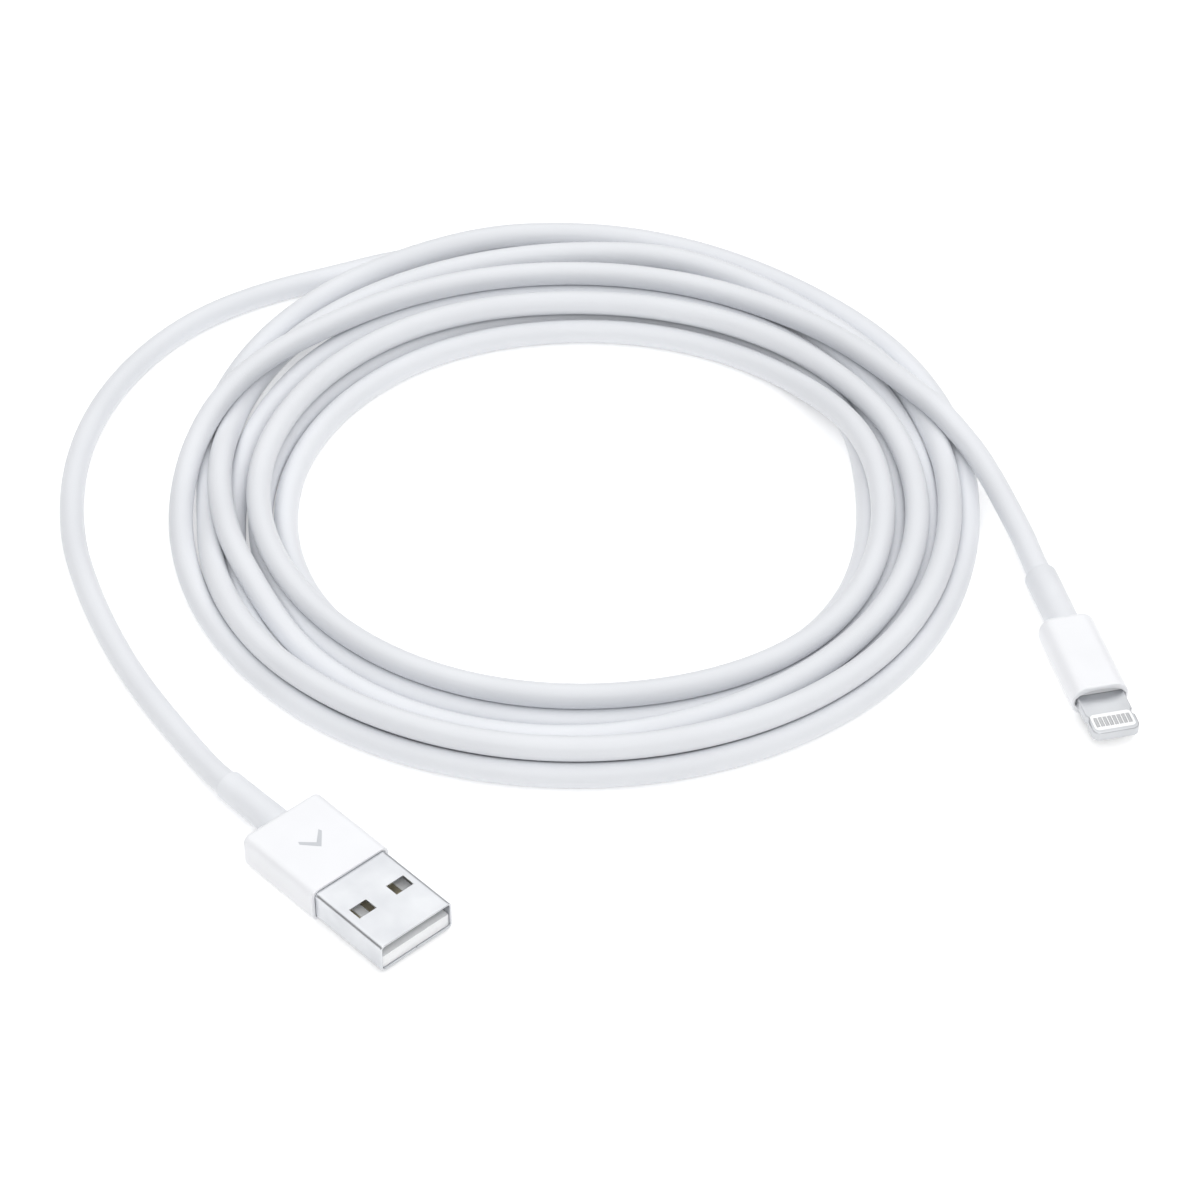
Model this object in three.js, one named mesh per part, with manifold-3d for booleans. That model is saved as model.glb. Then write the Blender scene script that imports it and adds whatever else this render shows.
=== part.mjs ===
// A charging cable: a flat host plug, a long round cord wound into a loose coil, and a small tab plug.
// Millimetres, +Z up, standing on z = 0. The host plug lies along X with its mouth towards +X, and its
// middle is the origin. The cord leaves it towards -X, runs into the coil and ends at the device plug.

import * as THREE from "three";
import { mergeVertices } from "three/addons/utils/BufferGeometryUtils.js";
import Module from "manifold-3d";

const wasm = await Module();
wasm.setup();

const fit = 0.06; // clearance all round a piece that seats in another
const cordGap = 0.3; // end gap between the cord's solids and what they meet
const overrun = 1; // how far a cut runs past what it cuts
const arcSteps = 4; // straight pieces in each rounded corner
const roundSides = 24; // sides of a turned piece

const cord = {
  diameter: 3.5,
  sides: 8,
  step: 8.5, // length of one straight piece of tube
  jacketWall: 0.41,
  braidWall: 0.2,
  wireDiameter: 0.75,
  wireStub: 0.6, // straight out of the solder
  wireGather: 1.0, // where the wires come together, ahead of the crimp's front
  wireLay: 0.8, // straight into the cord's end
  wireSides: 8,
  wireSteps: 12,
};

const host = {
  shellWidth: 12.0,
  shellThickness: 4.5,
  shellWall: 0.3,
  shellCorner: 0.7,
  shellExposed: 13.1,
  shellSeated: 5.3,
  seamWidth: 0.12,
  windowLength: 2.1,
  windowWidth: 2.85,
  windowSetback: 6.9, // mouth to the middle of each window
  windowSpread: 6.3, // between the two windows' middles
  coverSideWall: 0.49,
  coverBroadWall: 0.34,
  coverLength: 14.3,
  coverCorner: 1.2,
  coverBackRound: 0.7,
  coverBackWall: 1.2,
  tongueSetback: 0.3,
  tongueThickness: 1.95,
  blockAhead: 1.1, // front of the rear block ahead of the cover's front
  blockLength: 5.2,
  contactWidth: 1.0,
  contactThickness: 0.3,
  contactSink: 0.03, // top of a contact below the top of the tongue
  contactTail: 2.4, // solder tail behind the block
  powerPitch: 7.0,
  dataPitch: 2.0,
  powerSetback: 1.9,
  dataSetback: 2.6,
  mouldWall: 0.55,
  crimpLength: 2.0,
  crimpWall: 0.35,
  flangeWidth: 7.0,
  flangeThickness: 0.9,
  reliefLength: 11.0,
  reliefRootWall: 0.415,
  reliefTipWall: 0.3,
  reliefTipRound: 0.25,
  innerGap: 0.3, // between pieces that follow each other inside the cover
};

const device = {
  tabWidth: 6.7,
  tabThickness: 1.5,
  tabExposed: 7.3,
  tabCorner: 1.1,
  detentRadius: 0.8,
  detentDepth: 0.3,
  detentSetback: 3.3,
  insertWidth: 5.8,
  insertLength: 3.1,
  insertSetback: 0.6,
  insertCorner: 0.6,
  padCount: 8,
  padPitch: 0.66,
  padWidth: 0.36,
  padLength: 1.7,
  padThickness: 0.2,
  padSink: 0.03,
  boardThickness: 0.5,
  boardInset: 2.0, // back of the board ahead of the can's back
  boardClearance: 0.15, // all round the board in the tab's slot
  solderPitch: 1.0,
  railWidth: 0.7, // metal beside the slot that holds the board
  chipSize: 2.5,
  chipThickness: 0.6,
  regulatorSize: 1.6,
  regulatorThickness: 0.5,
  chipInset: 0.4, // front of the chips behind the can's front
  chipRoom: 0.5, // between the taller chip and the can
  canSideRoom: 0.5,
  canBroadRoom: 0.25,
  canLength: 5.2,
  canWall: 0.15,
  coverSideWall: 0.35,
  coverBroadWall: 0.6,
  coverLength: 15.4,
  coverCorner: 2.1,
  coverBackRound: 0.9,
  coverBackWall: 1.3,
  cavityCorner: 1.0,
  mouldSideWall: 0.23,
  mouthDepth: 0.35, // recess round the tab in the front of the cover
  crimpLength: 1.6,
  crimpWall: 0.25,
  crimpCover: 0.17, // least wall of the cover over the crimp
  wireRoom: 1.4, // between the crimp and the can
  neckWall: 0.19,
  neckLength: 1.6,
  reliefLength: 10.9,
  reliefWall: 0.54,
  reliefTipRound: 0.4,
  innerGap: 0.3,
  exitX: 25.8, // where the cord leaves the strain relief
  exitY: 111.05,
  heading: -29.5, // degrees from +X to the way the tab points
};

const coil = {
  centreX: -32.4,
  centreY: 76.3,
  outerRadius: 62.3,
  innerRadius: 38.5,
  height: 7.0,
  sides: 72,
};

// The cord's free stretches, from each plug to the coil, as X, Y and the height of the cord's middle.
// Each starts where its strain relief ends, which is added when the plug is made.
const hostRoute = [
  [-22.0, 0.15, 2.45],
  [-26.0, 0.8, 1.95],
  [-30.0, 1.5, 1.75],
  [-36.0, 2.5, 1.75],
  [-43.0, 3.9, 1.75],
  [-50.5, 5.9, 1.75],
  [-59.5, 9.0, 1.75],
  [-67.0, 12.2, 1.75],
  [-73.0, 15.3, 1.75],
  [-79.0, 19.3, 1.75],
  [-85.0, 24.3, 1.75],
  [-90.2, 29.8, 1.75],
  [-94.5, 35.7, 1.75],
  [-97.8, 41.8, 1.75],
  [-100.2, 48.0, 1.75],
  [-101.7, 54.2, 1.75],
  [-102.3, 60.2, 1.75],
  [-102.0, 66.0, 1.75],
  [-101.0, 71.5, 1.75],
  [-99.4, 77.0, 1.75],
  [-97.5, 82.0, 1.75],
  [-96.4, 84.7, 1.75],
];
const deviceRoute = [
  [23.4, 112.4, 2.49],
  [21.2, 113.6, 2.8],
  [19.6, 114.45, 3.1],
];

const group = new THREE.Group();

// Materials

function finish(color, roughness, metalness = 0) {
  return new THREE.MeshStandardMaterial({ color, roughness, metalness });
}

const glossWhite = finish(0xfbfbfc, 0.25);
const satinWhite = finish(0xedf0f4, 0.5);
const innerWhite = finish(0xe9eaec, 0.55);
const shellSteel = finish(0xd9dbde, 0.28, 1);
const tabSteel = finish(0xcfd2d4, 0.35, 1);
const gold = finish(0xd9b45c, 0.3, 1);
const padGrey = finish(0xb4b6b8, 0.4, 1);
const crimpTin = finish(0xb9bcc0, 0.4, 1);
const braidCopper = finish(0xb87f5a, 0.5, 1);
const boardGreen = finish(0x1f5a3c, 0.5);
const chipBlack = finish(0x1b1c1e, 0.4);
const wireColors = [0xb92a2a, 0xe8e8e6, 0x2f8a4a, 0x1e1e20];

// Solids

function toSolid(geometry) {
  const bare = geometry.index ? geometry.toNonIndexed() : geometry.clone();
  bare.deleteAttribute("normal");
  bare.deleteAttribute("uv");
  const merged = mergeVertices(bare, 1e-4);
  return new wasm.Manifold(
    new wasm.Mesh({
      numProp: 3,
      vertProperties: merged.attributes.position.array,
      triVerts: new Uint32Array(merged.index.array),
    }),
  );
}

function toGeometry(solid) {
  const mesh = solid.getMesh();
  const geometry = new THREE.BufferGeometry();
  geometry.setAttribute(
    "position",
    new THREE.BufferAttribute(mesh.vertProperties, mesh.numProp),
  );
  geometry.setIndex(new THREE.BufferAttribute(mesh.triVerts, 1));
  geometry.computeVertexNormals();
  return geometry;
}

function add(parent, name, geometry, material) {
  const mesh = new THREE.Mesh(geometry, material);
  mesh.name = name;
  parent.add(mesh);
}

function block(x0, x1, y0, y1, z0, z1) {
  return new THREE.BoxGeometry(x1 - x0, y1 - y0, z1 - z0).translate(
    (x0 + x1) / 2,
    (y0 + y1) / 2,
    (z0 + z1) / 2,
  );
}

function roundedRectangle(width, height, corner) {
  const shape = new THREE.Shape();
  const w = width / 2;
  const h = height / 2;
  const r = Math.min(corner, w, h);
  shape.moveTo(w, r - h);
  shape.lineTo(w, h - r);
  shape.absarc(w - r, h - r, r, 0, Math.PI / 2);
  shape.lineTo(r - w, h);
  shape.absarc(r - w, h - r, r, Math.PI / 2, Math.PI);
  shape.lineTo(-w, r - h);
  shape.absarc(r - w, r - h, r, Math.PI, Math.PI * 1.5);
  shape.lineTo(w - r, -h);
  shape.absarc(w - r, r - h, r, Math.PI * 1.5, Math.PI * 2);
  return shape;
}

const outlineToYZ = new THREE.Matrix4().makeBasis(
  new THREE.Vector3(0, 1, 0),
  new THREE.Vector3(0, 0, 1),
  new THREE.Vector3(1, 0, 0),
);

// An outline drawn in Y and Z, carried along X from x0 to x1 at height z.
function bar(outline, x0, x1, z) {
  return new THREE.ExtrudeGeometry(outline, {
    depth: x1 - x0,
    bevelEnabled: false,
    curveSegments: arcSteps,
  })
    .applyMatrix4(outlineToYZ)
    .translate(x0, 0, z);
}

// The same with its back end rounded over, for a moulded cover.
function coverBar(width, height, corner, backRound, x0, x1, z) {
  const innerCorner = Math.max(corner - backRound, fit);
  const inner = roundedRectangle(width - 2 * backRound, height - 2 * backRound, innerCorner);
  const long = new THREE.ExtrudeGeometry(inner, {
    depth: x1 - x0,
    bevelEnabled: true,
    bevelThickness: backRound,
    bevelSize: backRound,
    bevelSegments: arcSteps,
    curveSegments: arcSteps,
  })
    .applyMatrix4(outlineToYZ)
    .translate(x0 + backRound, 0, z);
  const frontEnd = x1 + backRound + overrun;
  const front = block(x1, frontEnd, -width, width, z - height, z + height);
  return toSolid(long).subtract(toSolid(front));
}

// A plate drawn in X and Y, with its thickness centred on height z.
function plate(outline, thickness, z) {
  return new THREE.ExtrudeGeometry(outline, {
    depth: thickness,
    bevelEnabled: false,
    curveSegments: arcSteps,
  }).translate(0, 0, z - thickness / 2);
}

// A closed profile of [x, radius] points turned about the X axis at height z.
function turned(profile, z) {
  const points = profile.map(([x, radius]) => new THREE.Vector2(radius, x));
  const turn = new THREE.Matrix4().makeBasis(
    new THREE.Vector3(0, 1, 0),
    new THREE.Vector3(1, 0, 0),
    new THREE.Vector3(0, 0, -1),
  );
  return new THREE.LatheGeometry(points, roundSides)
    .applyMatrix4(turn)
    .translate(0, 0, z);
}

function sleeve(x0, x1, inner, outer, z) {
  return turned([[x0, inner], [x0, outer], [x1, outer], [x1, inner], [x0, inner]], z);
}

function rod(x0, x1, radius, z) {
  return turned([[x0, 0], [x0, radius], [x1, radius], [x1, 0]], z);
}

// A strain relief round the cord from x0, its rounded free end, to x1.
function reliefBody(x0, x1, tipRadius, rootRadius, tipRound, z) {
  const profile = [[x0, cordBore]];
  for (let i = 0; i <= arcSteps; i += 1) {
    const angle = (i / arcSteps) * (Math.PI / 2);
    profile.push([
      x0 + tipRound * (1 - Math.cos(angle)),
      tipRadius - tipRound * (1 - Math.sin(angle)),
    ]);
  }
  profile.push([x1, rootRadius], [x1, cordBore], [x0, cordBore]);
  return turned(profile, z);
}

function tube(points, radius, sides, steps) {
  const outline = new THREE.Shape();
  for (let i = 0; i < sides; i += 1) {
    const angle = ((i + 0.5) / sides) * 2 * Math.PI;
    const corner = [radius * Math.cos(angle), radius * Math.sin(angle)];
    if (i === 0) outline.moveTo(...corner);
    else outline.lineTo(...corner);
  }
  outline.closePath();
  const path = new THREE.CatmullRomCurve3(points, false, "centripetal");
  return new THREE.ExtrudeGeometry(outline, { steps, extrudePath: path });
}

// Pieces that both plugs have

const jacketBore = cord.diameter / 2 - cord.jacketWall;
const braidOuter = jacketBore - fit;
const braidInner = braidOuter - cord.braidWall;
const wireRing = braidInner - fit - cord.wireDiameter / 2; // centre of each wire from the cord's axis

// Four insulated wires, from their solder points to the end of the cord's stub at endX. Each takes its
// height in the cord before it closes in on its neighbours.
function addWires(parent, prefix, solderPoints, gatherX, endX, axisZ) {
  solderPoints.forEach((solder, i) => {
    const angle = (2.5 - i) * (Math.PI / 2);
    const y = wireRing * Math.cos(angle);
    const z = axisZ + wireRing * Math.sin(angle);
    const stubX = solder[0] - cord.wireStub;
    const fanX = (2 * stubX + gatherX) / 3;
    const points = [
      new THREE.Vector3(...solder),
      new THREE.Vector3(stubX, solder[1], solder[2]),
      new THREE.Vector3(fanX, (3 * solder[1] + y) / 4, z),
      new THREE.Vector3(gatherX, y, z),
      new THREE.Vector3(gatherX - cord.wireLay, y, z),
      new THREE.Vector3((gatherX + endX) / 2, y, z),
      new THREE.Vector3(endX, y, z),
    ];
    const geometry = tube(points, cord.wireDiameter / 2, cord.wireSides, cord.wireSteps);
    add(parent, `${prefix}_wire_${i + 1}`, geometry, finish(wireColors[i], 0.5));
  });
}

// The end of the cord's jacket and braid, held by the crimp and the strain relief.
function addCordEnd(parent, prefix, x0, x1, axisZ) {
  const jacket = sleeve(x0, x1, jacketBore, cord.diameter / 2, axisZ);
  add(parent, `${prefix}_cord_jacket`, jacket, satinWhite);
  const braid = sleeve(x0, x1 + cordGap, braidInner, braidOuter, axisZ);
  add(parent, `${prefix}_cord_braid`, braid, braidCopper);
}

// Host plug

const hostLength = host.shellExposed + host.coverLength + host.reliefLength;
const mouthX = hostLength / 2;
const coverFrontX = mouthX - host.shellExposed;
const coverBackX = coverFrontX - host.coverLength;
const reliefTipX = coverBackX - host.reliefLength;
const cordBore = cord.diameter / 2 + fit;
const hostReliefRadius = cordBore + host.reliefRootWall;
const hostCrimpRadius = cordBore + host.crimpWall;
const chamberRadius = Math.max(hostReliefRadius, hostCrimpRadius) + fit;
const hostRoom = Math.max(host.shellThickness / 2 + fit, chamberRadius);
const hostCoverWidth = host.shellWidth + 2 * (fit + host.coverSideWall);
const hostCoverThickness = 2 * (hostRoom + host.coverBroadWall);
const hostAxisZ = hostCoverThickness / 2;
const shellBackX = coverFrontX - host.shellSeated;
const shellInnerWidth = host.shellWidth - 2 * host.shellWall;
const shellInnerHeight = host.shellThickness - 2 * host.shellWall;
const shellFloorZ = hostAxisZ - shellInnerHeight / 2;
const tongueTopZ = shellFloorZ + fit + host.tongueThickness;
const blockFrontX = coverFrontX + host.blockAhead;
const blockBackX = blockFrontX - host.blockLength;
const contactTopZ = tongueTopZ - host.contactSink;
const contactBottomZ = contactTopZ - host.contactThickness;
const tailBackX = blockBackX - host.contactTail;
const wallFrontX = coverBackX + host.coverBackWall;
const flangeBackX = wallFrontX + fit;
const flangeFrontX = flangeBackX + host.flangeThickness;
const crimpBackX = flangeFrontX + host.innerGap;
const crimpFrontX = crimpBackX + host.crimpLength;
const mouldBackX = crimpFrontX + host.innerGap;
const mouldFrontX = blockBackX - host.innerGap;
const contactYs = [
  -host.powerPitch / 2,
  -host.dataPitch / 2,
  host.dataPitch / 2,
  host.powerPitch / 2,
];

// The two outer contacts, for power, reach nearer to the mouth than the two between them.
function contactFrontX(i) {
  const isPower = i === 0 || i === contactYs.length - 1;
  return mouthX - (isPower ? host.powerSetback : host.dataSetback);
}

function addHostShell() {
  const outer = roundedRectangle(host.shellWidth, host.shellThickness, host.shellCorner);
  const innerCorner = host.shellCorner - host.shellWall;
  const inner = roundedRectangle(shellInnerWidth, shellInnerHeight, innerCorner);
  let shell = toSolid(bar(outer, shellBackX, mouthX, hostAxisZ));
  shell = shell.subtract(toSolid(bar(inner, shellBackX - overrun, mouthX + overrun, hostAxisZ)));
  const windowX = mouthX - host.windowSetback;
  for (const side of [-1, 1]) {
    const windowY = (side * host.windowSpread) / 2;
    const hole = block(
      windowX - host.windowLength / 2,
      windowX + host.windowLength / 2,
      windowY - host.windowWidth / 2,
      windowY + host.windowWidth / 2,
      hostAxisZ - host.shellThickness,
      hostAxisZ + host.shellThickness,
    );
    shell = shell.subtract(toSolid(hole));
  }
  const halfSeam = host.seamWidth / 2;
  const seam = block(
    shellBackX - overrun,
    mouthX + overrun,
    -halfSeam,
    halfSeam,
    -overrun,
    shellFloorZ + fit,
  );
  add(group, "host_shell", toGeometry(shell.subtract(toSolid(seam))), shellSteel);
}

function addHostInsulator() {
  const halfWidth = shellInnerWidth / 2 - fit;
  const floorZ = shellFloorZ + fit;
  const roofZ = shellFloorZ + shellInnerHeight - fit;
  const tongueFrontX = mouthX - host.tongueSetback;
  const corner = host.shellCorner - host.shellWall;
  const outline = roundedRectangle(2 * halfWidth, roofZ - floorZ, corner);
  const whole = toSolid(bar(outline, blockBackX, tongueFrontX, hostAxisZ));
  const half = host.shellWidth;
  const mouthRoom = block(blockFrontX, mouthX + overrun, -half, half, tongueTopZ, roofZ + overrun);
  let insulator = whole.subtract(toSolid(mouthRoom));
  contactYs.forEach((y, i) => {
    const halfSlot = host.contactWidth / 2 + fit;
    const slot = block(
      blockBackX - overrun,
      contactFrontX(i) + fit,
      y - halfSlot,
      y + halfSlot,
      contactBottomZ - fit,
      tongueTopZ + fit,
    );
    insulator = insulator.subtract(toSolid(slot));
  });
  add(group, "host_insulator", toGeometry(insulator), innerWhite);
}

function addHostContacts() {
  contactYs.forEach((y, i) => {
    const half = host.contactWidth / 2;
    const strip = block(tailBackX, contactFrontX(i), y - half, y + half, contactBottomZ, contactTopZ);
    add(group, `host_contact_${i + 1}`, strip, gold);
  });
}

function addHostMould() {
  const width = shellInnerWidth - 2 * fit;
  const height = shellInnerHeight - 2 * fit;
  const corner = host.shellCorner - host.shellWall;
  const outer = toSolid(bar(roundedRectangle(width, height, corner), mouldBackX, mouldFrontX, hostAxisZ));
  const pocket = roundedRectangle(width - 2 * host.mouldWall, height - 2 * host.mouldWall, corner);
  const hollow = toSolid(bar(pocket, mouldBackX - overrun, mouldFrontX + overrun, hostAxisZ));
  add(group, "host_inner_mould", toGeometry(outer.subtract(hollow)), innerWhite);
}

function addHostCover() {
  const body = coverBar(
    hostCoverWidth,
    hostCoverThickness,
    host.coverCorner,
    host.coverBackRound,
    coverBackX,
    coverFrontX,
    hostAxisZ,
  );
  const cavity = bar(
    roundedRectangle(host.shellWidth + 2 * fit, host.shellThickness + 2 * fit, host.shellCorner + fit),
    wallFrontX,
    coverFrontX + overrun,
    hostAxisZ,
  );
  const chamber = rod(wallFrontX, mouldBackX, chamberRadius, hostAxisZ);
  const hole = rod(coverBackX - overrun, wallFrontX + overrun, hostReliefRadius + fit, hostAxisZ);
  let cover = body.subtract(toSolid(cavity));
  cover = cover.subtract(toSolid(chamber)).subtract(toSolid(hole));
  add(group, "host_cover", toGeometry(cover), glossWhite);
}

function addHostRelief() {
  const tip = cordBore + host.reliefTipWall;
  const round = host.reliefTipRound;
  const long = reliefBody(reliefTipX, flangeFrontX, tip, hostReliefRadius, round, hostAxisZ);
  const flange = roundedRectangle(host.flangeWidth, host.shellThickness - 2 * fit, host.shellCorner);
  const flangeSolid = toSolid(bar(flange, flangeBackX, flangeFrontX, hostAxisZ));
  const drill = toSolid(rod(flangeBackX - overrun, flangeFrontX + overrun, cordBore, hostAxisZ));
  const drilled = flangeSolid.subtract(drill);
  add(group, "host_strain_relief", toGeometry(toSolid(long).add(drilled)), satinWhite);
}

function addHostCrimp() {
  const crimp = sleeve(crimpBackX, crimpFrontX, cordBore, hostCrimpRadius, hostAxisZ);
  add(group, "host_crimp", crimp, crimpTin);
}

addHostShell();
addHostInsulator();
addHostContacts();
addHostMould();
addHostCover();
addHostRelief();
addHostCrimp();
addCordEnd(group, "host", reliefTipX + cordGap, crimpFrontX, hostAxisZ);
addWires(
  group,
  "host",
  contactYs.map((y) => [tailBackX - cordGap, y, (contactTopZ + contactBottomZ) / 2]),
  crimpFrontX + cord.wireGather,
  reliefTipX + cordGap,
  hostAxisZ,
);

// Device plug, modelled with the front of its cover at x = 0 and then set in its place.

const slotWidth = device.tabWidth - 2 * device.railWidth;
const slotHeight = device.boardThickness + 2 * device.boardClearance;
const boardWidth = slotWidth - 2 * device.boardClearance;
const canRoom = device.chipThickness + device.chipRoom + device.canWall;
const canHeight = device.boardThickness + 2 * canRoom;
const cavityWidth = device.tabWidth + 2 * (device.mouldSideWall + 2 * fit);
const cavityHeight = canHeight + 2 * device.canBroadRoom;
const canWidth = cavityWidth - 2 * device.canSideRoom;
const deviceCoverWidth = cavityWidth + 2 * device.coverSideWall;
const deviceCrimpRadius = cordBore + device.crimpWall;
const crimpRoom = deviceCrimpRadius + 2 * fit;
const deviceHalfThickness = Math.max(
  cavityHeight / 2 + device.coverBroadWall,
  crimpRoom + device.crimpCover,
);
const deviceCoverThickness = 2 * deviceHalfThickness;
const deviceAxisZ = deviceCoverThickness / 2;
const tipX = device.tabExposed;
const deviceBackX = -device.coverLength;
const deviceTipX = deviceBackX - device.reliefLength;
const insertFrontX = tipX - device.insertSetback;
const insertBackX = insertFrontX - device.insertLength;
const deviceWallX = deviceBackX + device.coverBackWall;
const neckFrontX = deviceBackX + device.neckLength;
const deviceCrimpBackX = neckFrontX + device.innerGap;
const deviceCrimpFrontX = deviceCrimpBackX + device.crimpLength;
const canBackX = deviceCrimpFrontX + device.wireRoom;
const canFrontX = canBackX + device.canLength;
const frameBackX = canFrontX + device.innerGap;
const boardFrontX = insertBackX - fit;
const boardBackX = canBackX + device.boardInset;

const plug = new THREE.Group();
const heading = THREE.MathUtils.degToRad(device.heading);
plug.rotation.z = heading;
plug.position.set(
  device.exitX - deviceTipX * Math.cos(heading),
  device.exitY - deviceTipX * Math.sin(heading),
  0,
);
group.add(plug);

// The tab's outline or the insert's, with its nose at noseX and its back square at backX.
function noseOutline(noseX, backX, width, noseCorner, backCorner) {
  const shape = new THREE.Shape();
  const w = width / 2;
  shape.moveTo(backX + backCorner, -w);
  shape.lineTo(noseX - noseCorner, -w);
  shape.absarc(noseX - noseCorner, noseCorner - w, noseCorner, -Math.PI / 2, 0);
  shape.lineTo(noseX, w - noseCorner);
  shape.absarc(noseX - noseCorner, w - noseCorner, noseCorner, 0, Math.PI / 2);
  shape.lineTo(backX + backCorner, w);
  if (backCorner > 0) {
    shape.absarc(backX + backCorner, w - backCorner, backCorner, Math.PI / 2, Math.PI);
    shape.lineTo(backX, backCorner - w);
    shape.absarc(backX + backCorner, backCorner - w, backCorner, Math.PI, Math.PI * 1.5);
  }
  return shape;
}

function addTabFrame() {
  const outline = noseOutline(tipX, frameBackX, device.tabWidth, device.tabCorner, 0);
  let frame = toSolid(plate(outline, device.tabThickness, deviceAxisZ));
  const windowOutline = noseOutline(
    insertFrontX + fit,
    insertBackX - fit,
    device.insertWidth + 2 * fit,
    device.insertCorner + fit,
    device.insertCorner + fit,
  );
  frame = frame.subtract(toSolid(plate(windowOutline, 2 * device.tabThickness, deviceAxisZ)));
  const slot = block(
    frameBackX - overrun,
    insertBackX + fit,
    -slotWidth / 2,
    slotWidth / 2,
    deviceAxisZ - slotHeight / 2,
    deviceAxisZ + slotHeight / 2,
  );
  frame = frame.subtract(toSolid(slot));
  for (const side of [-1, 1]) {
    const reach = device.tabWidth / 2 - device.detentDepth + device.detentRadius;
    const scoop = new THREE.CylinderGeometry(
      device.detentRadius,
      device.detentRadius,
      2 * device.tabThickness,
      roundSides,
    )
      .rotateX(Math.PI / 2)
      .translate(tipX - device.detentSetback, side * reach, deviceAxisZ);
    frame = frame.subtract(toSolid(scoop));
  }
  add(plug, "device_tab_frame", toGeometry(frame), tabSteel);
}

const padMiddleX = (insertFrontX + insertBackX) / 2;
const padYs = Array.from(
  { length: device.padCount },
  (_, i) => (i - (device.padCount - 1) / 2) * device.padPitch,
);

// A pad's box, grown by margin on its sides, on the upper face (side 1) or the lower one (side -1).
function padBox(y, side, margin) {
  const face = deviceAxisZ + side * (device.tabThickness / 2 - device.padSink);
  const root = face - side * (device.padThickness + margin);
  const outer = face + side * (margin > 0 ? device.padThickness : 0);
  return block(
    padMiddleX - device.padLength / 2 - margin,
    padMiddleX + device.padLength / 2 + margin,
    y - device.padWidth / 2 - margin,
    y + device.padWidth / 2 + margin,
    Math.min(root, outer),
    Math.max(root, outer),
  );
}

function addInsertAndPads() {
  const outline = noseOutline(
    insertFrontX,
    insertBackX,
    device.insertWidth,
    device.insertCorner,
    device.insertCorner,
  );
  let insert = toSolid(plate(outline, device.tabThickness, deviceAxisZ));
  for (const [face, side] of [["top", 1], ["bottom", -1]]) {
    padYs.forEach((y, i) => {
      insert = insert.subtract(toSolid(padBox(y, side, fit)));
      add(plug, `device_pad_${face}_${i + 1}`, padBox(y, side, 0), padGrey);
    });
  }
  add(plug, "device_contact_insert", toGeometry(insert), glossWhite);
}

function addDeviceBoard() {
  const halfBoard = device.boardThickness / 2;
  const board = block(
    boardBackX,
    boardFrontX,
    -boardWidth / 2,
    boardWidth / 2,
    deviceAxisZ - halfBoard,
    deviceAxisZ + halfBoard,
  );
  add(plug, "device_board", board, boardGreen);
  const chipFrontX = canFrontX - device.chipInset;
  const chip = block(
    chipFrontX - device.chipSize,
    chipFrontX,
    -device.chipSize / 2,
    device.chipSize / 2,
    deviceAxisZ + halfBoard,
    deviceAxisZ + halfBoard + device.chipThickness,
  );
  add(plug, "device_chip", chip, chipBlack);
  const regulator = block(
    chipFrontX - device.regulatorSize,
    chipFrontX,
    -device.regulatorSize / 2,
    device.regulatorSize / 2,
    deviceAxisZ - halfBoard - device.regulatorThickness,
    deviceAxisZ - halfBoard,
  );
  add(plug, "device_regulator", regulator, chipBlack);
}

function addDeviceCan() {
  const inset = 2 * device.canWall;
  const outer = roundedRectangle(canWidth, canHeight, 2 * device.canWall);
  const inner = roundedRectangle(canWidth - inset, canHeight - inset, device.canWall);
  const can = toSolid(bar(outer, canBackX, canFrontX, deviceAxisZ));
  const hollow = toSolid(bar(inner, canBackX - overrun, canFrontX + overrun, deviceAxisZ));
  add(plug, "device_shield_can", toGeometry(can.subtract(hollow)), crimpTin);
}

function addDeviceMould() {
  const width = cavityWidth - 2 * fit;
  const outer = roundedRectangle(width, cavityHeight - 2 * fit, device.cavityCorner);
  const mould = toSolid(bar(outer, frameBackX, -device.mouthDepth, deviceAxisZ));
  const halfHole = device.tabWidth / 2 + fit;
  const hole = block(
    frameBackX - overrun,
    overrun,
    -halfHole,
    halfHole,
    deviceAxisZ - device.tabThickness / 2 - fit,
    deviceAxisZ + device.tabThickness / 2 + fit,
  );
  add(plug, "device_inner_mould", toGeometry(mould.subtract(toSolid(hole))), innerWhite);
}

function addDeviceCover() {
  const body = coverBar(
    deviceCoverWidth,
    deviceCoverThickness,
    device.coverCorner,
    device.coverBackRound,
    deviceBackX,
    0,
    deviceAxisZ,
  );
  const cavityOutline = roundedRectangle(cavityWidth, cavityHeight, device.cavityCorner);
  const cavity = bar(cavityOutline, deviceCrimpFrontX, overrun, deviceAxisZ);
  const rear = rod(deviceWallX, deviceCrimpFrontX + overrun, crimpRoom, deviceAxisZ);
  const neckRadius = cordBore + device.neckWall;
  const hole = rod(deviceBackX - overrun, deviceWallX + overrun, neckRadius + fit, deviceAxisZ);
  const cover = body.subtract(toSolid(cavity)).subtract(toSolid(rear)).subtract(toSolid(hole));
  add(plug, "device_cover", toGeometry(cover), glossWhite);
}

function addDeviceRelief() {
  const radius = cordBore + device.reliefWall;
  const seatX = deviceBackX - fit;
  const long = reliefBody(deviceTipX, seatX, radius, radius, device.reliefTipRound, deviceAxisZ);
  const neck = sleeve(seatX - overrun, neckFrontX, cordBore, cordBore + device.neckWall, deviceAxisZ);
  add(plug, "device_strain_relief", toGeometry(toSolid(long).add(toSolid(neck))), satinWhite);
}

function addDeviceCrimp() {
  const crimp = sleeve(deviceCrimpBackX, deviceCrimpFrontX, cordBore, deviceCrimpRadius, deviceAxisZ);
  add(plug, "device_crimp", crimp, crimpTin);
}

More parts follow.
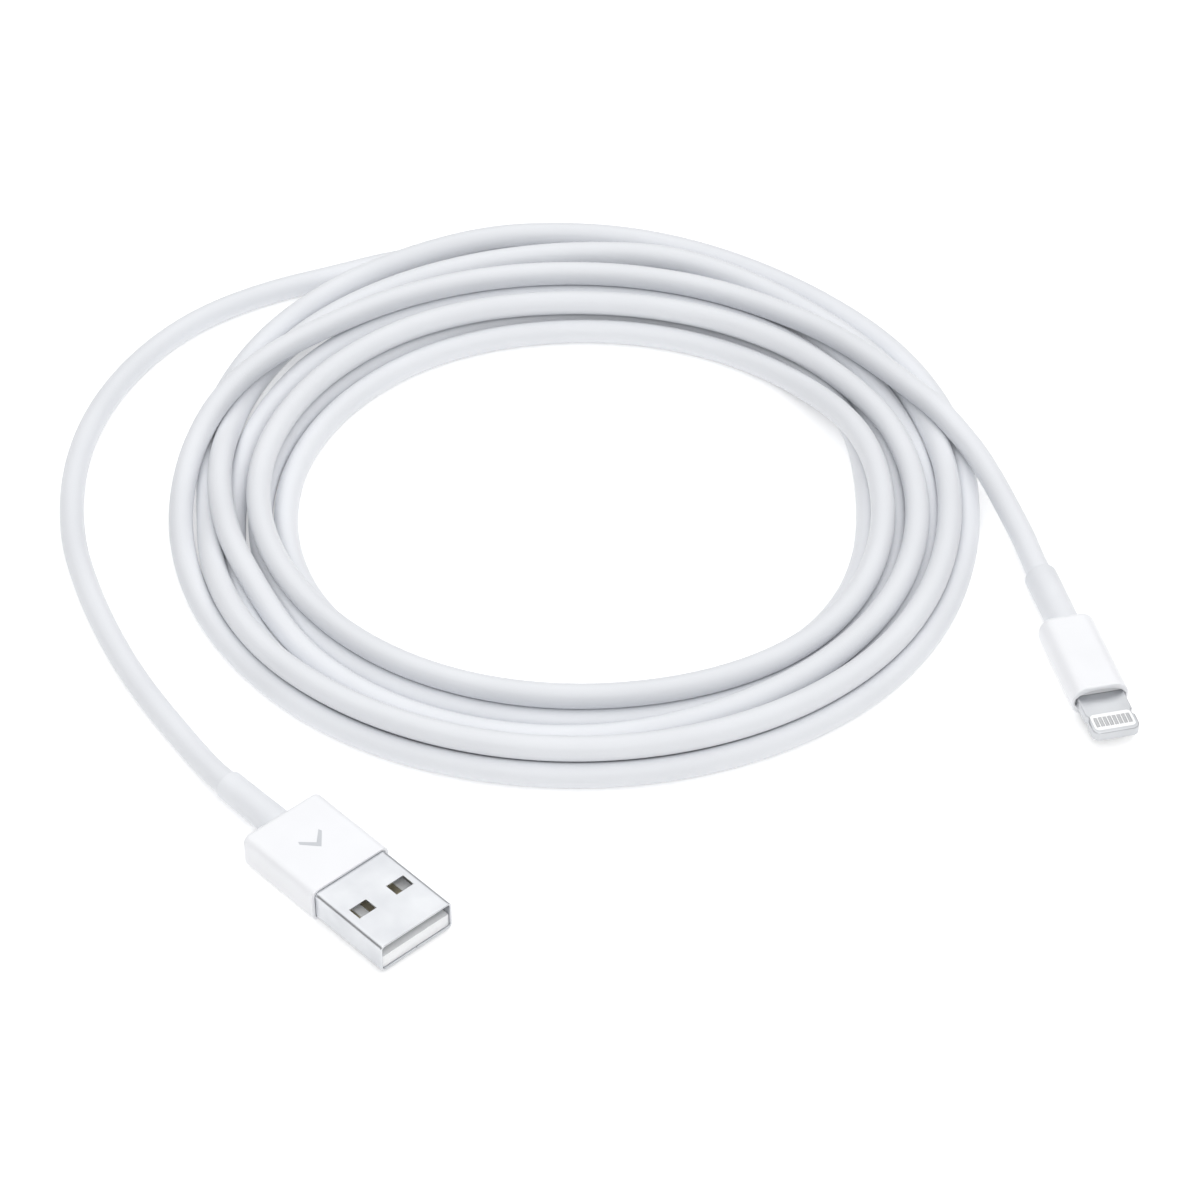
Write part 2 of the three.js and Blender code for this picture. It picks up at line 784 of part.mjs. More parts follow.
addTabFrame();
addInsertAndPads();
addDeviceBoard();
addDeviceCan();
addDeviceMould();
addDeviceCover();
addDeviceRelief();
addDeviceCrimp();
addCordEnd(plug, "device", deviceTipX + cordGap, deviceCrimpFrontX, deviceAxisZ);
addWires(
  plug,
  "device",
  wireColors.map((_, i) => {
    const fromMiddle = i - (wireColors.length - 1) / 2;
    return [boardBackX - cordGap, fromMiddle * device.solderPitch, deviceAxisZ];
  }),
  deviceCrimpFrontX + cord.wireGather,
  deviceTipX + cordGap,
  deviceAxisZ,
);

// Cord

function addLead(name, exit, route) {
  const points = [exit, ...route].map(([x, y, z]) => new THREE.Vector3(x, y, z));
  const ahead = points[1].clone().sub(points[0]).normalize();
  points[0].add(ahead.multiplyScalar(cordGap));
  const length = new THREE.CatmullRomCurve3(points, false, "centripetal").getLength();
  const steps = Math.max(2, Math.round(length / cord.step));
  add(group, name, tube(points, cord.diameter / 2, cord.sides, steps), satinWhite);
}

function addCoil() {
  const top = coil.height;
  const profile = [
    new THREE.Vector2(coil.innerRadius, 0),
    new THREE.Vector2(coil.outerRadius, 0),
    new THREE.Vector2(coil.outerRadius, top),
    new THREE.Vector2(coil.innerRadius, top),
    new THREE.Vector2(coil.innerRadius, 0),
  ];
  const ring = new THREE.LatheGeometry(profile, coil.sides)
    .rotateX(Math.PI / 2)
    .translate(coil.centreX, coil.centreY, 0);
  add(group, "cord_coil", ring, satinWhite);
}

addLead("cord_host_lead", [reliefTipX, 0, hostAxisZ], hostRoute);
addLead("cord_device_lead", [device.exitX, device.exitY, deviceAxisZ], deviceRoute);
addCoil();

export default group;
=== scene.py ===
import math

import bmesh
import bpy
import numpy as np
from mathutils import Matrix, Vector


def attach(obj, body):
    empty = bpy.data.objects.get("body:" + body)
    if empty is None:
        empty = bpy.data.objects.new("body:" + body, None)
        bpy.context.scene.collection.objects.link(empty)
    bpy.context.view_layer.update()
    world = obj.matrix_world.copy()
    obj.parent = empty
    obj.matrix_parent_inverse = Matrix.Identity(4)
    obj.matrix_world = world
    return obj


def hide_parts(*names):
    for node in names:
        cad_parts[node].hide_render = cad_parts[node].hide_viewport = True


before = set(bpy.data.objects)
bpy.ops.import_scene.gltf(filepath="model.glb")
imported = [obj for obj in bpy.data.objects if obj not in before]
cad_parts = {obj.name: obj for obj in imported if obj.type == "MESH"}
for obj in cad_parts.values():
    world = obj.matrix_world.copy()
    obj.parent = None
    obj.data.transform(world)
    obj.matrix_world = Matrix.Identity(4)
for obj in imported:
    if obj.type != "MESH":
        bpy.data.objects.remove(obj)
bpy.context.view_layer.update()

mm = 0.001
decimetre = 100  # the cord's pattern repeats along it by this many mm
weldGap = 0.0005  # points of a shape nearer than this, in mm, become one
past = 1.0  # mm that a cutter reaches outside of what it cuts
into = 0.5  # mm that one hole reaches into the next
hostPlace = Matrix.Scale(mm, 4)  # shapes are made in mm, and the host plug is made in its own place
print("frame loaded:", len(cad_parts), "nodes")

# Small helpers


def hexToLinear(code):
    channels = [int(code[i : i + 2], 16) / 255 for i in (1, 3, 5)]
    linear = [c / 12.92 if c <= 0.04045 else ((c + 0.055) / 1.055) ** 2.4 for c in channels]
    return (*linear, 1.0)


def addNode(tree, kind, inputs=None, **settings):
    node = tree.nodes.new(kind)
    for name, value in settings.items():
        setattr(node, name, value)
    for name, value in (inputs or {}).items():
        if isinstance(value, bpy.types.NodeSocket):
            tree.links.new(value, node.inputs[name])
        else:
            node.inputs[name].default_value = value
    return node


def perMetre(size):  # pattern scale for features of this many millimetres
    return 1 / (size * mm)


def meshFrom(name, vertices, faces):
    mesh = bpy.data.meshes.new(name)
    mesh.from_pydata([tuple(v) for v in vertices], [], faces)
    tidyMesh(mesh)
    return mesh


def tidyMesh(mesh):
    work = bmesh.new()
    work.from_mesh(mesh)
    bmesh.ops.remove_doubles(work, verts=work.verts, dist=weldGap)
    bmesh.ops.dissolve_degenerate(work, edges=work.edges, dist=weldGap)
    bmesh.ops.recalc_face_normals(work, faces=work.faces)
    work.to_mesh(mesh)
    work.free()


def finishPiece(name, mesh, place, material, replaced=(), creaseAngle=32):
    tidyMesh(mesh)
    mesh.transform(place)
    mesh.name = name
    mesh.materials.clear()
    mesh.materials.append(material)
    mesh.shade_smooth()
    mesh.set_sharp_from_angle(angle=math.radians(creaseAngle))
    piece = bpy.data.objects.new(name, mesh)
    bpy.context.scene.collection.objects.link(piece)
    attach(piece, "root")
    if replaced:
        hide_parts(*replaced)
    return piece


def looseObject(mesh):
    loose = bpy.data.objects.new("blank", mesh)
    bpy.context.scene.collection.objects.link(loose)
    return loose


def appliedMesh(loose):  # what its modifiers make of a loose object, which is then thrown away
    graph = bpy.context.evaluated_depsgraph_get()
    mesh = bpy.data.meshes.new_from_object(loose.evaluated_get(graph), depsgraph=graph)
    bpy.data.objects.remove(loose)
    return mesh


def carved(solid, cutters):  # cutters are (operation, solid), done in turn
    blank = looseObject(meshFrom("blank", *solid))
    tools = []
    for operation, cutter in cutters:
        tool = looseObject(meshFrom("cutter", *cutter))
        cut = blank.modifiers.new("cut", "BOOLEAN")
        cut.operation = operation
        cut.solver = "EXACT"
        cut.object = tool
        tools.append(tool)
    mesh = appliedMesh(blank)
    for tool in tools:
        bpy.data.objects.remove(tool)
    return mesh


def bevelled(mesh, width, segments=2, angle=40):
    blank = looseObject(mesh)
    bevel = blank.modifiers.new("bevel", "BEVEL")
    bevel.width = width
    bevel.segments = segments
    bevel.limit_method = "ANGLE"
    bevel.angle_limit = math.radians(angle)
    return appliedMesh(blank)


def copyOfNode(node):  # a CAD node's shape in millimetres, merged and with its flat faces made whole
    mesh = bpy.data.objects[node].data.copy()
    mesh.transform(Matrix.Scale(1 / mm, 4))
    work = bmesh.new()
    work.from_mesh(mesh)
    bmesh.ops.remove_doubles(work, verts=work.verts, dist=weldGap)
    nearlyFlat = math.radians(0.5)
    bmesh.ops.dissolve_limit(work, angle_limit=nearlyFlat, verts=work.verts, edges=work.edges)
    work.to_mesh(mesh)
    work.free()
    return mesh


# Outlines are lists of (y, z) or (x, y) points. Those of one skin have the same count, so that they join.


def roundedOutline(width, height, corner, steps=8, centre=(0.0, 0.0), support=0.15):
    # A support point beside each corner's arc keeps the straight sides flat in the shading.
    corner = min(corner, width / 2, height / 2)
    share = 0.9  # so that the support points of a short side don't meet
    beyond = [min(support, side / 2 - corner) * share for side in (height, width)]
    points = []
    for k, (sideways, upward) in enumerate(((1, 1), (-1, 1), (-1, -1), (1, -1))):
        middle = (
            centre[0] + sideways * (width / 2 - corner),
            centre[1] + upward * (height / 2 - corner),
        )
        arc = []
        for i in range(steps + 1):
            angle = (k + i / steps) * math.pi / 2
            arc.append((middle[0] + corner * math.cos(angle), middle[1] + corner * math.sin(angle)))
        ahead = (-math.sin(k * math.pi / 2), math.cos(k * math.pi / 2))
        before = beyond[k % 2]
        after = beyond[(k + 1) % 2]
        points.append((arc[0][0] - ahead[0] * before, arc[0][1] - ahead[1] * before))
        points += arc
        points.append((arc[-1][0] - ahead[1] * after, arc[-1][1] + ahead[0] * after))
    return points


def offsetOutline(points, inward):  # drawn in by this much all round
    flat = np.array(points)
    side = np.roll(flat, -1, 0) - np.roll(flat, 1, 0)
    length = np.linalg.norm(side, axis=1)[:, None]
    normal = np.column_stack([-side[:, 1], side[:, 0]]) / length
    return [tuple(p) for p in flat + normal * inward]


def skin(sections, ring=False):  # sections are lists of 3-D points; ring joins the last to the first
    count = len(sections[0])
    vertices = [point for section in sections for point in section]
    faces = []
    pairs = len(sections) if ring else len(sections) - 1
    for s in range(pairs):
        a = s * count
        b = ((s + 1) % len(sections)) * count
        for i in range(count):
            j = (i + 1) % count
            faces.append((a + i, a + j, b + j, b + i))
    if not ring:
        faces.append(tuple(range(count - 1, -1, -1)))
        faces.append(tuple(range(len(vertices) - count, len(vertices))))
    return vertices, faces


def alongX(outline, x, z):
    return [(x, p[0], p[1] + z) for p in outline]


def alongZ(outline, z):
    return [(p[0], p[1], z) for p in outline]


def sliceAcross(across, x, z, inward=0.0, steps=8):  # across is the width, height and corner of its outline
    width, height, corner = across
    return alongX(roundedOutline(width - 2 * inward, height - 2 * inward, corner - inward, steps), x, z)


def boxSolid(x0, x1, y0, y1, z0, z1):
    low = [(x0, y0, z0), (x1, y0, z0), (x1, y1, z0), (x0, y1, z0)]
    return skin([low, [(x, y, z1) for x, y, _ in low]])


def roundRod(radius, x0, x1, z):
    across = (2 * radius, 2 * radius, radius)
    return skin([sliceAcross(across, x, z, steps=18) for x in (x0, x1)])


def turnedRing(profile, z, sides=72):  # a closed profile of (x, radius) points turned about X
    sections = []
    for i in range(sides):
        angle = 2 * math.pi * i / sides
        sections.append([(x, r * math.cos(angle), z + r * math.sin(angle)) for x, r in profile])
    return skin(sections, ring=True)


def quarter(count=6):  # angles of a rounded edge
    return [i / count * math.pi / 2 for i in range(count + 1)]


# Materials


def startMaterial(name):
    material = bpy.data.materials.new(name)
    material.use_nodes = True
    tree = material.node_tree
    tree.nodes.clear()
    shader = addNode(tree, "ShaderNodeBsdfPrincipled")
    addNode(tree, "ShaderNodeOutputMaterial", {"Surface": shader.outputs["BSDF"]})
    place = addNode(tree, "ShaderNodeTexCoord").outputs["Object"]
    return material, tree, shader, place


def driftColour(tree, shader, pattern, first, second):  # the surface drifts between two shades
    share = addNode(tree, "ShaderNodeMapRange", {"Value": pattern, "From Min": 0.3, "From Max": 0.7})
    shade = addNode(
        tree,
        "ShaderNodeMix",
        {0: share.outputs["Result"], 6: hexToLinear(first), 7: hexToLinear(second)},
        data_type="RGBA",
    )  # 6, 7 and 2 are its colour sockets
    tree.links.new(shade.outputs[2], shader.inputs["Base Color"])


def mouldedPlastic(name, first, second, roughness, grain, depth, ior=1.5, sheen=0.0):
    # Injection moulded: a drift of shade 7 mm wide that is hardly seen, and the mould's grain in the gloss.
    # Real grain is finer than 0.05 mm, too fine to show, so each is drawn as coarse as it needs to show.
    material, tree, shader, place = startMaterial(name)
    drift = addNode(tree, "ShaderNodeTexNoise", {"Vector": place, "Scale": perMetre(7), "Detail": 2.0})
    mould = addNode(tree, "ShaderNodeTexNoise", {"Vector": place, "Scale": perMetre(grain), "Detail": 3.0})
    driftColour(tree, shader, drift.outputs["Fac"], first, second)
    gloss = addNode(
        tree,
        "ShaderNodeMapRange",
        {"Value": mould.outputs["Fac"], "To Min": roughness - 0.05, "To Max": roughness + 0.05},
    )
    bump = addNode(
        tree,
        "ShaderNodeBump",
        {"Height": mould.outputs["Fac"], "Strength": 0.5, "Distance": depth * mm},
    )
    tree.links.new(gloss.outputs["Result"], shader.inputs["Roughness"])
    tree.links.new(bump.outputs["Normal"], shader.inputs["Normal"])
    shader.inputs["IOR"].default_value = ior
    shader.inputs["Sheen Weight"].default_value = sheen
    return material


def extrudedJacket(name, first, second):
    # Extruded elastomer: soft satin skin, faint lines from the die, and shade that drifts over 26 mm from
    # handling. Real lines and grain are finer than 0.1 mm, too fine to show, so both are drawn coarser: 14
    # patches of line to a decimetre of cord, 34 round it, and a grain of 0.22 mm.
    material, tree, shader, place = startMaterial(name)
    along = addNode(tree, "ShaderNodeUVMap", uv_map="alongCord")
    dieScale = addNode(
        tree, "ShaderNodeMapping", {"Vector": along.outputs["UV"], "Scale": (14.0, 34.0, 1.0)}
    )
    dieLines = addNode(
        tree,
        "ShaderNodeTexNoise",
        {"Vector": dieScale.outputs["Vector"], "Scale": 1.0, "Detail": 2.0},
    )
    grain = addNode(tree, "ShaderNodeTexNoise", {"Vector": place, "Scale": perMetre(0.22), "Detail": 3.0})
    drift = addNode(tree, "ShaderNodeTexNoise", {"Vector": place, "Scale": perMetre(26), "Detail": 2.0})
    driftColour(tree, shader, drift.outputs["Fac"], first, second)
    gloss = addNode(
        tree, "ShaderNodeMapRange", {"Value": grain.outputs["Fac"], "To Min": 0.42, "To Max": 0.54}
    )
    fine = addNode(
        tree,
        "ShaderNodeBump",
        {"Height": grain.outputs["Fac"], "Strength": 0.5, "Distance": 0.03 * mm},
    )
    both = addNode(
        tree,
        "ShaderNodeBump",
        {
            "Height": dieLines.outputs["Fac"],
            "Strength": 0.25,
            "Distance": 0.03 * mm,
            "Normal": fine.outputs["Normal"],
        },
    )
    tree.links.new(gloss.outputs["Result"], shader.inputs["Roughness"])
    tree.links.new(both.outputs["Normal"], shader.inputs["Normal"])
    shader.inputs["IOR"].default_value = 1.48
    shader.inputs["Sheen Weight"].default_value = 0.08
    return material


def platedMetal(name, first, second, roughness, grain, stretch=12.0, depth=0.004):
    # Plated sheet or machined metal: rolling or polishing marks that break up the reflection, and a shade
    # that drifts over 5 mm. Real marks are about 0.01 mm wide, too fine to show, so they are drawn coarser,
    # and longer along X by the stretch.
    material, tree, shader, place = startMaterial(name)
    drawn = addNode(tree, "ShaderNodeMapping", {"Vector": place, "Scale": (1 / stretch, 1.0, 1.0)})
    marks = addNode(
        tree,
        "ShaderNodeTexNoise",
        {"Vector": drawn.outputs["Vector"], "Scale": perMetre(grain), "Detail": 4.0},
    )
    cloud = addNode(tree, "ShaderNodeTexNoise", {"Vector": place, "Scale": perMetre(5), "Detail": 2.0})
    driftColour(tree, shader, cloud.outputs["Fac"], first, second)
    gloss = addNode(
        tree,
        "ShaderNodeMapRange",
        {"Value": marks.outputs["Fac"], "To Min": roughness - 0.06, "To Max": roughness + 0.08},
    )
    bump = addNode(
        tree,
        "ShaderNodeBump",
        {"Height": marks.outputs["Fac"], "Strength": 0.4, "Distance": depth * mm},
    )
    tree.links.new(gloss.outputs["Result"], shader.inputs["Roughness"])
    tree.links.new(bump.outputs["Normal"], shader.inputs["Normal"])
    shader.inputs["Metallic"].default_value = 1.0
    return material


def braidedCopper():
    # Braided copper wire: a crossed weave in the bump, and a base colour bright copper on each bundle of
    # strands and dark between them, which is painted shade.
    # A strand is 0.1 mm thick, too fine to show, so a 0.9 mm bundle is drawn.
    material, tree, shader, place = startMaterial("braided copper")
    bundles = []
    for slant in (0.7, -0.7):
        crossed = addNode(tree, "ShaderNodeMapping", {"Vector": place, "Rotation": (0.0, 0.0, slant)})
        wave = addNode(
            tree,
            "ShaderNodeTexWave",
            {"Vector": crossed.outputs["Vector"], "Scale": perMetre(0.9), "Distortion": 0.2},
        )
        bundles.append(wave.outputs["Fac"])
    weave = addNode(tree, "ShaderNodeMath", {0: bundles[0], 1: bundles[1]}, operation="MAXIMUM")
    # painted shade: the base colour goes dark in the gaps between bundles
    driftColour(tree, shader, weave.outputs["Value"], "#7A4E33", "#C98B62")
    bump = addNode(
        tree,
        "ShaderNodeBump",
        {"Height": weave.outputs["Value"], "Strength": 0.8, "Distance": 0.05 * mm},
    )
    tree.links.new(bump.outputs["Normal"], shader.inputs["Normal"])
    shader.inputs["Metallic"].default_value = 1.0
    shader.inputs["Roughness"].default_value = 0.42
    return material


def circuitBoard():
    # Glass laminate under solder mask: a lighter green every 1.4 mm, where copper tracks run beneath it.
    material, tree, shader, place = startMaterial("solder mask over glass laminate")
    tracks = addNode(
        tree,
        "ShaderNodeTexBrick",
        {
            "Vector": place,
            "Scale": perMetre(1.4),
            "Mortar Size": 0.06,
            "Color1": hexToLinear("#1F5A3C"),
            "Color2": hexToLinear("#245F43"),
            "Mortar": hexToLinear("#2F7A52"),
        },
    )
    bump = addNode(
        tree,
        "ShaderNodeBump",
        {"Height": tracks.outputs["Fac"], "Strength": 0.4, "Distance": 0.02 * mm},
    )
    tree.links.new(tracks.outputs["Color"], shader.inputs["Base Color"])
    tree.links.new(bump.outputs["Normal"], shader.inputs["Normal"])
    shader.inputs["Roughness"].default_value = 0.35
    return material


# Each is given as: name, two shades, roughness, size of its grain and depth of its grain in mm, and then
# the IOR and the sheen of a plastic. A metal's size of grain is followed by its stretch and its depth.

# glossy and bright, with a soft even highlight
coverGloss = mouldedPlastic("moulded gloss ABS", "#EDEEF1", "#F0F1F4", 0.3, 0.9, 0.0003, 1.53)
# rubbery and matt, a little darker than the covers
reliefSatin = mouldedPlastic(
    "moulded satin elastomer", "#DFE1E5", "#E6E8EC", 0.5, 0.16, 0.006, 1.48, sheen=0.08
)
# plain off-white filling, which shows only behind the tab
innerWhite = mouldedPlastic("moulded natural nylon", "#DCDDDF", "#E6E7E9", 0.5, 0.3, 0.004)
# the whitest and smoothest plastic, which frames the pads
insertWhite = mouldedPlastic("overmoulded white LCP", "#F3F4F5", "#FAFBFB", 0.38, 0.2, 0.003)
# clean white in the mouth, with a dull shine
tonguePlastic = mouldedPlastic("moulded white PBT", "#F1F2F4", "#F7F8F9", 0.42, 0.25, 0.003)
# dull black of the chips
chipBlack = mouldedPlastic("moulded black epoxy", "#17181A", "#202124", 0.45, 0.12, 0.004)
# flat light grey, duller than the cover that it is printed on
printGrey = mouldedPlastic("pad printed grey ink", "#C3C6CB", "#CBCED2", 0.45, 0.12, 0.002)
# soft broad reflections with lines drawn along the shell
shellSteel = platedMetal(
    "nickel plated pressed steel", "#D0D2D6", "#DDDFE2", 0.3, 0.16, stretch=14.0, depth=0.008
)
# pale warm strips on the tongue
contactGold = platedMetal("gold flashed nickel", "#E3D9BC", "#ECE4CC", 0.55, 0.1)
# grey and half dull, as pressed
crimpTin = platedMetal("tinned stamped steel", "#B4B7BB", "#C3C6C9", 0.38, 0.2)
# even light grey with a fine satin
tabSteel = platedMetal("satin machined steel", "#C9CBCE", "#D3D5D8", 0.36, 0.08, stretch=3.0)
# a shade darker and duller than the tab
padPlate = platedMetal("rhodium plated pad", "#C4C5C7", "#CCCDCF", 0.45, 0.1, stretch=3.0)
# soft off-white that shows round shading along the cord
cordJacket = extrudedJacket("extruded elastomer jacket", "#DFE1E5", "#E6E8EC")
braidCopper = braidedCopper()
boardGreen = circuitBoard()
wireJackets = {
    "red": ("#A92323", "#BC3030"),
    "white": ("#DEDEDB", "#ECECE9"),
    "green": ("#257A3F", "#32904E"),
    "black": ("#17181A", "#242527"),
}
wirePlastics = [  # smooth and half glossy, one for each core
    mouldedPlastic(f"extruded {colour} insulation", *shades, 0.4, 0.3, 0.003)
    for colour, shades in wireJackets.items()
]
print("materials made")

# Camera: aimed at a point on the table

look = {
    "x": -14.8,
    "y": 63.7,
    "heading": 137.07,  # degrees from +X to the way it looks
    "elevation": 41.5,
    "distance": 566.0,
    "view": 17.062,  # degrees across the lens's view
}


def makeCamera():
    heading = math.radians(look["heading"])
    elevation = math.radians(look["elevation"])
    ahead = Vector(
        (
            math.cos(heading) * math.cos(elevation),
            math.sin(heading) * math.cos(elevation),
            -math.sin(elevation),
        )
    )
    data = bpy.data.cameras.new("camera")
    data.angle = math.radians(look["view"])
    data.clip_start = 0.01
    camera = bpy.data.objects.new("camera", data)
    camera.location = Vector((look["x"], look["y"], 0)) * mm - ahead * look["distance"] * mm
    camera.rotation_euler = ahead.to_track_quat("-Z", "Y").to_euler()
    bpy.context.scene.collection.objects.link(camera)
    bpy.context.scene.camera = camera


makeCamera()

# Cord

cord = {
    "diameter": 3.5,
    "sides": 28,
    "spacing": 1.15,  # between the rings of the tube
    "fineSteps": 12,  # between two points, where the line is measured
    "angleStep": 5,  # degrees between the worked-out points of the coil
    "passes": 400,  # how often the turns are pushed apart
    "hold": 0.03,  # how firmly each turn keeps the place chosen for it
    "ease": 0.25,  # how far a push spreads along the cord in each pass
    "apart": 3.58,  # between touching turns, a little over the diameter because they cross at a slant
}

coil = {
    "x": -32.4,
    "y": 76.3,
    "firstStation": 47.0,  # degrees from +X to the station at 0
    "stations": (0, 45, 90, 135, 160, 180, 225, 270, 315),
    # radius and height of the cord's middle at each station, one row for each turn from the tab plug;
    # a height of 1.75 lies on the table
    "turns": (
        ((59.3, 4.9), (49.8, 4.8), (48.3, 4.7), (51.6, 5.0), (55.0, 5.7), (57.2, 3.5),
         (58.8, 1.75), (58.8, 1.75), (58.3, 1.75)),
        ((55.8, 1.75), (57.7, 1.75), (58.8, 4.6), (60.4, 2.4), (57.2, 1.75), (53.8, 1.75),
         (57.0, 4.6), (57.0, 4.75), (56.1, 4.5)),
        ((53.1, 4.05), (54.3, 1.9), (53.7, 4.4), (56.5, 2.2), (54.6, 2.6), (52.7, 4.6),
         (52.1, 1.9), (51.8, 1.75), (51.65, 4.4)),
        ((48.1, 4.3), (43.2, 5.0), (41.1, 5.0), (43.7, 5.1), (45.3, 5.1), (46.4, 5.1),
         (46.9, 4.75), (47.0, 4.9), (47.1, 4.5)),
        ((43.2, 4.7), (40.4, 1.9), (38.4, 1.75), (39.9, 1.75), (41.2, 1.75), (42.4, 1.75),
         (45.1, 1.75), (44.8, 1.75), (45.0, 1.75)),
        ((41.5, 1.75), (43.9, 1.75), (42.2, 1.75), (43.6, 1.75), (45.0, 1.75), (46.1, 1.75),
         (48.6, 1.75), (48.3, 1.75), (49.4, 1.75)),
        ((45.6, 1.75), (47.4, 1.75), (47.6, 1.75), (50.6, 1.75), (50.3, 1.75), (50.1, 1.75),
         (55.3, 1.75), (55.3, 1.75), (53.9, 1.75)),
        ((50.5, 1.75), (50.9, 1.75), (56.2, 1.75)),
    ),
    "leaving": ((20, 52.7, 5.4),),  # on the first turn, where it climbs over the others to the tab plug
    "arriving": ((110, 61.3, 1.75), (125, 64.5, 1.75)),  # on the last turn, where it goes to the host plug
}

# The free stretches, in millimetres: from the host plug to the coil, and from the coil to the tab plug.
hostRoute = (
    (-18.9, 0.0, 2.65), (-22.0, 0.15, 2.45), (-26.0, 0.8, 1.95), (-30.0, 1.5, 1.75), (-36.0, 2.5, 1.75),
    (-43.0, 3.9, 1.75), (-50.5, 5.9, 1.75), (-59.5, 9.0, 1.75), (-67.0, 12.2, 1.75), (-73.0, 15.3, 1.75),
    (-79.0, 19.3, 1.75), (-85.0, 24.3, 1.75), (-90.2, 29.8, 1.75), (-94.5, 35.7, 1.75), (-97.8, 41.8, 1.75),
    (-100.2, 48.0, 1.75), (-101.7, 54.2, 1.75), (-102.3, 60.2, 1.75), (-102.0, 66.0, 1.75),
    (-101.0, 71.5, 1.75), (-99.4, 77.0, 1.75), (-97.5, 82.0, 1.75),
)
deviceRoute = (
    (13.3, 117.25, 4.35), (19.6, 114.45, 3.1), (21.2, 113.6, 2.8), (23.4, 112.4, 2.49), (26.05, 110.91, 2.35),
)


def curveThrough(knots, values, where):  # a smooth line through values at knots, read at where
    knots = np.array(knots, float)
    values = np.array(values, float)
    gap = np.diff(knots)
    slope = np.diff(values, axis=0) / gap[:, None]
    tangent = np.empty_like(values)
    tangent[1:-1] = slope[:-1] * gap[1:, None] + slope[1:] * gap[:-1, None]
    tangent[1:-1] /= (gap[:-1] + gap[1:])[:, None]
    tangent[0] = slope[0]
    tangent[-1] = slope[-1]
    i = np.clip(np.searchsorted(knots, where, side="right") - 1, 0, len(gap) - 1)
    t = ((where - knots[i]) / gap[i])[:, None]
    h = gap[i][:, None]
    return (
        (2 * t**3 - 3 * t**2 + 1) * values[i]
        + (t**3 - 2 * t**2 + t) * h * tangent[i]
        + (3 * t**2 - 2 * t**3) * values[i + 1]
        + (t**3 - t**2) * h * tangent[i + 1]
    )


def layCoil():
    stops = list(coil["leaving"])
    for k, row in enumerate(coil["turns"]):
        stops += [(360 * k + a, r, z) for a, (r, z) in zip(coil["stations"], row)]
    lastLap = 360 * (len(coil["turns"]) - 1)
    stops += [(lastLap + a, r, z) for a, r, z in coil["arriving"]]
    stops.sort()
    angles = np.arange(0, stops[-1][0] + 1, cord["angleStep"])
    chosen = curveThrough([s[0] for s in stops], [s[1:] for s in stops], angles)
    laid = settle(chosen, 360 // cord["angleStep"])
    turn = np.radians(angles + coil["firstStation"])
    points = np.column_stack(
        [coil["x"] + laid[:, 0] * np.cos(turn), coil["y"] + laid[:, 0] * np.sin(turn), laid[:, 1]]
    )
    return points[::-1]  # from the host plug's end


def settle(chosen, lap):
    # Turns that lie in each other are pushed apart, above the table, a little at a time.
    laid = chosen.copy()
    half = cord["diameter"] / 2
    for _ in range(cord["passes"]):
        shift = (laid - chosen) * (1 - cord["hold"])
        shift[1:-1] += cord["ease"] * (shift[:-2] + shift[2:] - 2 * shift[1:-1])
        laid = chosen + shift
        for lag in list(range(lap, len(laid), lap)) * 2:
            between = laid[lag:] - laid[:-lag]
            distance = np.maximum(np.linalg.norm(between, axis=1), 1e-6)
            push = between * (np.maximum(cord["apart"] - distance, 0) / distance / 2)[:, None]
            laid[:-lag] -= push
            laid[lag:] += push
        laid[:, 1] = np.maximum(laid[:, 1], half)
    return laid


def evenLine(points, spacing):  # the same line in even steps, and its length
    steps = np.linalg.norm(np.diff(points, axis=0), axis=1)
    knots = np.concatenate([[0], np.cumsum(np.sqrt(steps))])
    fine = curveThrough(knots, points, np.linspace(0, knots[-1], cord["fineSteps"] * len(points)))
    run = np.concatenate([[0], np.cumsum(np.linalg.norm(np.diff(fine, axis=0), axis=1))])
    where = np.linspace(0, run[-1], round(run[-1] / spacing) + 1)
    line = np.column_stack([np.interp(where, run, fine[:, k]) for k in range(3)])
    line[:, 2] = np.maximum(line[:, 2], cord["diameter"] / 2)
    return line, run[-1]


def tubeMesh(line, radius, sides):
    ahead = np.gradient(line, axis=0)
    ahead /= np.linalg.norm(ahead, axis=1)[:, None]
    up = np.array([0.0, 0.0, 1.0]) - ahead * ahead[:, 2:]  # so that the tube never twists
    up /= np.linalg.norm(up, axis=1)[:, None]
    side = np.cross(ahead, up)
    turn = np.arange(sides) / sides * 2 * math.pi
    rings = (
        line[:, None]
        + radius * np.cos(turn)[None, :, None] * side[:, None]
        + radius * np.sin(turn)[None, :, None] * up[:, None]
    )
    vertices, faces = skin([[tuple(p) for p in ring] for ring in rings])
    mesh = bpy.data.meshes.new("tube")
    mesh.from_pydata(vertices, [], faces)
    run = np.concatenate([[0], np.cumsum(np.linalg.norm(np.diff(line, axis=0), axis=1))])
    places = np.zeros((len(mesh.loops), 2))  # decimetres along the cord, and turns round it
    corner = 0
    for s in range(len(line) - 1):
        for i in range(sides):
            u0, u1 = run[s : s + 2] / decimetre
            v0, v1 = i / sides, (i + 1) / sides
            places[corner : corner + 4] = ((u0, v0), (u0, v1), (u1, v1), (u1, v0))
            corner += 4
    mesh.uv_layers.new(name="alongCord").data.foreach_set("uv", places.ravel())
    return mesh


cordPoints = np.vstack([hostRoute, layCoil(), deviceRoute])
cordLine, cordLength = evenLine(cordPoints, cord["spacing"])
cordPiece = finishPiece(
    "chargingCord",
    tubeMesh(cordLine, cord["diameter"] / 2, cord["sides"]),
    hostPlace,
    cordJacket,
    ("cord_host_lead", "cord_coil", "cord_device_lead"),
    creaseAngle=50,
)
print(f"cord laid: {cordLength:.1f} mm")

# Host plug: lies along X with its mouth at +X, its broad faces up and down

